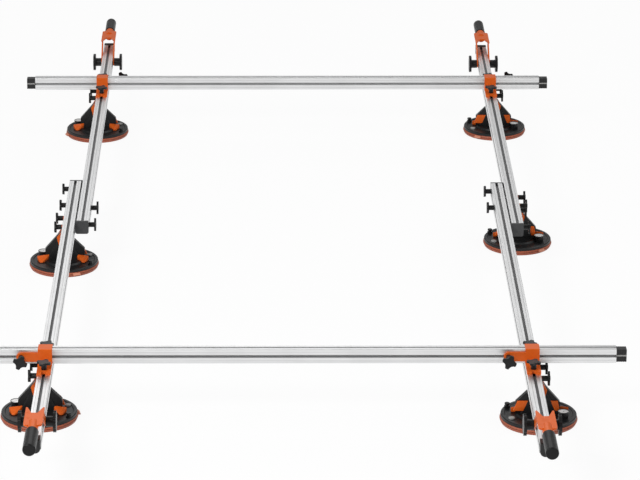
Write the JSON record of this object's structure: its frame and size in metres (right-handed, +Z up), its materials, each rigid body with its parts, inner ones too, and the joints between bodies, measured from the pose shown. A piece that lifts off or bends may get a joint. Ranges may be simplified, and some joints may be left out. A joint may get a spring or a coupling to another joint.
{
  "type": "large tile carrying frame",
  "caption": "Adjustable slotted-aluminium carrying frame with vacuum cups under its long rails, crossbars held by orange clamps, and tilting end handles for lifting a large tile.",
  "frame": {"origin": "middle of the frame at floor level, under the centre of its bounding box", "axes": "+Y along the rails towards the rear end, +X along the crossbars to the right, +Z up"},
  "size_m": [1.7732, 3.838, 0.208],
  "materials": {
    "aluminium": "satin anodised",
    "orange_coat": "semi-gloss powder coat",
    "black_plastic": "matt",
    "grip_rubber": "matt",
    "orange_rubber": "smooth matt",
    "cup_plastic": "fine-grained"
  },
  "bodies": {
    "front_half": {"front_crossbar": "aluminium", "front_crossbar_caps": "black_plastic", "front_left_rail": "aluminium", "front_left_rail_caps": "black_plastic", "front_left_clamp": "orange_coat", "front_left_knobs": "black_plastic"},
    "front_right_side": {"front_right_rail": "aluminium", "front_right_rail_caps": "black_plastic", "front_right_clamp": "orange_coat", "front_right_knobs": "black_plastic"},
    "rear_half": {"rear_crossbar": "aluminium", "rear_crossbar_caps": "black_plastic", "rear_left_rail": "aluminium", "rear_left_rail_caps": "black_plastic", "rear_left_clamp": "orange_coat", "rear_left_knobs": "black_plastic"},
    "rear_right_side": {"rear_right_rail": "aluminium", "rear_right_rail_caps": "black_plastic", "rear_right_clamp": "orange_coat", "rear_right_knobs": "black_plastic"},
    "front_left_tilt": {"front_left_handle": "orange_coat", "front_left_grip": "grip_rubber"},
    "front_right_tilt": {"front_right_handle": "orange_coat", "front_right_grip": "grip_rubber"},
    "rear_left_tilt": {"rear_left_handle": "orange_coat", "rear_left_grip": "grip_rubber"},
    "rear_right_tilt": {"rear_right_handle": "orange_coat", "rear_right_grip": "grip_rubber"},
    "front_left_cup": {"front_left_pad": "orange_rubber", "front_left_shell": "cup_plastic", "front_left_bracket": "orange_coat", "front_left_cup_knobs": "black_plastic"},
    "front_left_pump": {"front_left_plunger": "black_plastic"},
    "middle_left_cup": {"middle_left_pad": "orange_rubber", "middle_left_shell": "cup_plastic", "middle_left_bracket": "orange_coat", "middle_left_cup_knobs": "black_plastic"},
    "middle_left_pump": {"middle_left_plunger": "black_plastic"},
    "rear_left_cup": {"rear_left_pad": "orange_rubber", "rear_left_shell": "cup_plastic", "rear_left_bracket": "orange_coat", "rear_left_cup_knobs": "black_plastic"},
    "rear_left_pump": {"rear_left_plunger": "black_plastic"},
    "front_right_cup": {"front_right_pad": "orange_rubber", "front_right_shell": "cup_plastic", "front_right_bracket": "orange_coat", "front_right_cup_knobs": "black_plastic"},
    "front_right_pump": {"front_right_plunger": "black_plastic"},
    "middle_right_cup": {"middle_right_pad": "orange_rubber", "middle_right_shell": "cup_plastic", "middle_right_bracket": "orange_coat", "middle_right_cup_knobs": "black_plastic"},
    "middle_right_pump": {"middle_right_plunger": "black_plastic"},
    "rear_right_cup": {"rear_right_pad": "orange_rubber", "rear_right_shell": "cup_plastic", "rear_right_bracket": "orange_coat", "rear_right_cup_knobs": "black_plastic"},
    "rear_right_pump": {"rear_right_plunger": "black_plastic"}
  },
  "joints": [
    {"name": "length_adjust", "type": "slide", "parent": "front_half", "child": "rear_half", "axis": [0, 1, 0], "range_m": [-0.6, 0]},
    {"name": "width_adjust", "type": "slide", "parent": "front_half", "child": "front_right_side", "axis": [1, 0, 0], "range_m": [-0.4, 0.07]},
    {"name": "width_follow", "type": "slide", "parent": "rear_half", "child": "rear_right_side", "axis": [1, 0, 0], "range_m": [-0.4, 0.07]},
    {"name": "front_left_tilt_hinge", "type": "hinge", "parent": "front_half", "child": "front_left_tilt", "pos_m": [-0.673, -1.585, 0.139], "axis": [-1, 0, 0], "range_deg": [-3, 100]},
    {"name": "front_right_tilt_hinge", "type": "hinge", "parent": "front_right_side", "child": "front_right_tilt", "pos_m": [0.633, -1.611, 0.139], "axis": [-1, 0, 0], "range_deg": [-3, 100]},
    {"name": "rear_left_tilt_hinge", "type": "hinge", "parent": "rear_half", "child": "rear_left_tilt", "pos_m": [-0.633, 1.611, 0.139], "axis": [1, 0, 0], "range_deg": [-3, 100]},
    {"name": "rear_right_tilt_hinge", "type": "hinge", "parent": "rear_right_side", "child": "rear_right_tilt", "pos_m": [0.673, 1.585, 0.139], "axis": [1, 0, 0], "range_deg": [-3, 100]},
    {"name": "front_left_cup_slide", "type": "slide", "parent": "front_half", "child": "front_left_cup", "axis": [0, 1, 0], "range_m": [-0.2, 0.3]},
    {"name": "middle_left_cup_slide", "type": "slide", "parent": "front_half", "child": "middle_left_cup", "axis": [0, 1, 0], "range_m": [-0.4, 0.06]},
    {"name": "rear_left_cup_slide", "type": "slide", "parent": "rear_half", "child": "rear_left_cup", "axis": [0, 1, 0], "range_m": [-0.15, 0.2]},
    {"name": "front_right_cup_slide", "type": "slide", "parent": "front_right_side", "child": "front_right_cup", "axis": [0, 1, 0], "range_m": [-0.2, 0.3]},
    {"name": "middle_right_cup_slide", "type": "slide", "parent": "rear_right_side", "child": "middle_right_cup", "axis": [0, 1, 0], "range_m": [0, 0.4]},
    {"name": "rear_right_cup_slide", "type": "slide", "parent": "rear_right_side", "child": "rear_right_cup", "axis": [0, 1, 0], "range_m": [-0.3, 0.2]},
    {"name": "front_left_pump_press", "type": "slide", "parent": "front_left_cup", "child": "front_left_pump", "axis": [0, 0, 1], "range_m": [-0.004, 0], "stiffness_N_per_m": 400, "springref_m": 0.003},
    {"name": "middle_left_pump_press", "type": "slide", "parent": "middle_left_cup", "child": "middle_left_pump", "axis": [0, 0, 1], "range_m": [-0.004, 0], "stiffness_N_per_m": 400, "springref_m": 0.003},
    {"name": "rear_left_pump_press", "type": "slide", "parent": "rear_left_cup", "child": "rear_left_pump", "axis": [0, 0, 1], "range_m": [-0.004, 0], "stiffness_N_per_m": 400, "springref_m": 0.003},
    {"name": "front_right_pump_press", "type": "slide", "parent": "front_right_cup", "child": "front_right_pump", "axis": [0, 0, 1], "range_m": [-0.004, 0], "stiffness_N_per_m": 400, "springref_m": 0.003},
    {"name": "middle_right_pump_press", "type": "slide", "parent": "middle_right_cup", "child": "middle_right_pump", "axis": [0, 0, 1], "range_m": [-0.004, 0], "stiffness_N_per_m": 400, "springref_m": 0.003},
    {"name": "rear_right_pump_press", "type": "slide", "parent": "rear_right_cup", "child": "rear_right_pump", "axis": [0, 0, 1], "range_m": [-0.004, 0], "stiffness_N_per_m": 400, "springref_m": 0.003}
  ],
  "couplings": [
    {"joint": "width_follow", "follows": "width_adjust", "ratio": 1}
  ]
}
